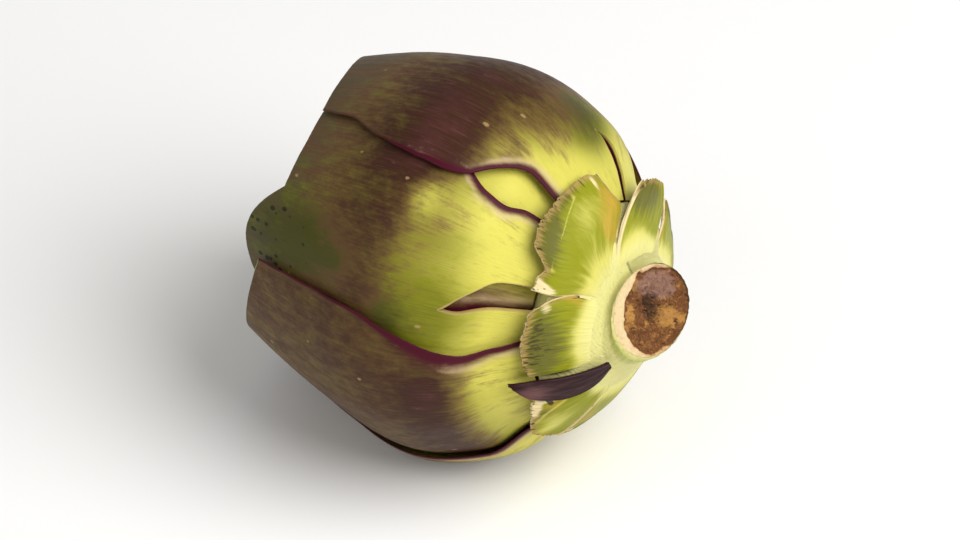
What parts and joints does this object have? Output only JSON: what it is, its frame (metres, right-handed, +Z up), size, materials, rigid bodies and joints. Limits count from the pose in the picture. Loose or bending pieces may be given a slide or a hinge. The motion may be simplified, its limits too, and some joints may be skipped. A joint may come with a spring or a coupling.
{
  "type": "artichoke",
  "caption": "Trimmed purple and green globe artichoke lying on its side, its top cut off at a slant and its stem cut short.",
  "frame": {"origin": "centre of the object's box in plan, at the level of the surface it lies on", "axes": "+X along the plant's axis towards the stem, +Z up, and -Y the side that is towards the viewer"},
  "size_m": [0.0959, 0.0853, 0.084],
  "materials": {
    "outer_bract": "waxy leaf skin, purple-brown and olive over yellow-green, faintly streaked lengthwise",
    "inner_bract": "smooth pale yellow-green leaf, purple towards the margins",
    "torn_stub": "matt yellow-green leaf with a dry tan torn edge",
    "stem_flesh": "pale yellow-green skin, cut face browned and fibrous"
  },
  "bodies": {
    "root": {"stem_and_base": "stem_flesh", "stub_upper": "torn_stub", "stub_standing": "torn_stub", "stub_front": "torn_stub", "stub_tongue": "torn_stub", "stub_low": "torn_stub", "stub_back_high": "torn_stub", "stub_back_low": "torn_stub", "stub_underside": "torn_stub", "bract_underside": "outer_bract", "bract_back": "outer_bract", "bract_front_low": "outer_bract", "bract_top": "outer_bract", "bract_back_low": "outer_bract", "bract_front_high": "outer_bract", "bract_inner_01": "inner_bract", "bract_inner_02": "inner_bract", "bract_inner_03": "inner_bract", "bract_inner_04": "inner_bract", "bract_inner_05": "inner_bract", "bract_inner_06": "inner_bract", "bract_inner_07": "inner_bract", "bract_inner_08": "inner_bract", "bract_inner_09": "inner_bract", "bract_inner_10": "inner_bract", "bract_inner_11": "inner_bract", "bract_inner_12": "inner_bract", "bract_inner_13": "inner_bract", "bract_inner_14": "inner_bract", "bract_inner_15": "inner_bract", "bract_inner_16": "inner_bract", "bract_inner_17": "inner_bract", "bract_inner_18": "inner_bract", "bract_inner_19": "inner_bract", "bract_inner_20": "inner_bract", "bract_inner_21": "inner_bract", "bract_inner_22": "inner_bract", "bract_inner_23": "inner_bract", "bract_inner_24": "inner_bract", "bract_inner_25": "inner_bract", "bract_inner_26": "inner_bract", "bract_inner_27": "inner_bract"}
  },
  "joints": []
}
